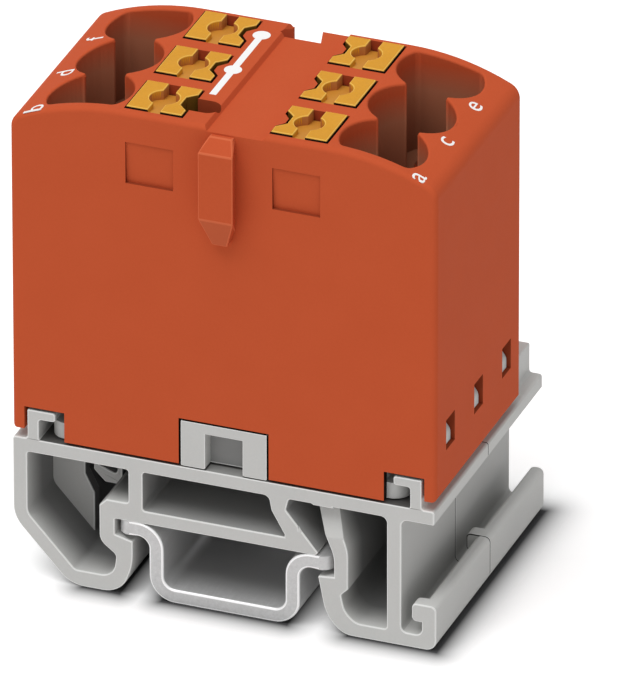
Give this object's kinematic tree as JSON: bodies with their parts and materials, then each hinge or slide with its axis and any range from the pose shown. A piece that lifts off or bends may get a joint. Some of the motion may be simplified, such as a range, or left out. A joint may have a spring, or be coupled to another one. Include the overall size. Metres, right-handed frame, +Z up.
{
  "type": "distribution block",
  "caption": "Push-in distribution block with square release buttons beside its wire funnels, clipped by two feet on a short hat rail.",
  "frame": {"origin": "middle of the rail's underside, on the surface that the rail and the feet stand on", "axes": "+Z up, +Y from the face with the dovetail tongue to the back, +X towards the sprung leg of the feet"},
  "size_m": [0.0296, 0.0216, 0.0358],
  "materials": {
    "housing_plastic": "fine matte moulded",
    "button_plastic": "satin moulded",
    "grey_plastic": "satin moulded",
    "rail_sheet": "satin coated sheet",
    "copper_strip": "tinned copper",
    "spring_steel": "bright spring strip"
  },
  "bodies": {
    "block": {"housing": "housing_plastic", "base": "grey_plastic", "current_bar": "copper_strip", "mounting_rail": "rail_sheet", "rail_adapter_front": "grey_plastic", "rail_adapter_rear": "grey_plastic", "clamp_spring_a": "spring_steel", "clamp_spring_b": "spring_steel", "clamp_spring_c": "spring_steel", "clamp_spring_d": "spring_steel", "clamp_spring_e": "spring_steel", "clamp_spring_f": "spring_steel"},
    "button_a": {"push_button_a": "button_plastic"},
    "button_b": {"push_button_b": "button_plastic"},
    "button_c": {"push_button_c": "button_plastic"},
    "button_d": {"push_button_d": "button_plastic"},
    "button_e": {"push_button_e": "button_plastic"},
    "button_f": {"push_button_f": "button_plastic"}
  },
  "joints": [
    {"name": "press_a", "type": "slide", "parent": "block", "child": "button_a", "axis": [0, 0, -1], "range_m": [0, 0.0012], "stiffness_N_per_m": 2000, "springref_m": -0.001, "deforming": ["clamp_spring_a"]},
    {"name": "press_b", "type": "slide", "parent": "block", "child": "button_b", "axis": [0, 0, -1], "range_m": [0, 0.0012], "stiffness_N_per_m": 2000, "springref_m": -0.001, "deforming": ["clamp_spring_b"]},
    {"name": "press_c", "type": "slide", "parent": "block", "child": "button_c", "axis": [0, 0, -1], "range_m": [0, 0.0012], "stiffness_N_per_m": 2000, "springref_m": -0.001, "deforming": ["clamp_spring_c"]},
    {"name": "press_d", "type": "slide", "parent": "block", "child": "button_d", "axis": [0, 0, -1], "range_m": [0, 0.0012], "stiffness_N_per_m": 2000, "springref_m": -0.001, "deforming": ["clamp_spring_d"]},
    {"name": "press_e", "type": "slide", "parent": "block", "child": "button_e", "axis": [0, 0, -1], "range_m": [0, 0.0012], "stiffness_N_per_m": 2000, "springref_m": -0.001, "deforming": ["clamp_spring_e"]},
    {"name": "press_f", "type": "slide", "parent": "block", "child": "button_f", "axis": [0, 0, -1], "range_m": [0, 0.0012], "stiffness_N_per_m": 2000, "springref_m": -0.001, "deforming": ["clamp_spring_f"]}
  ]
}
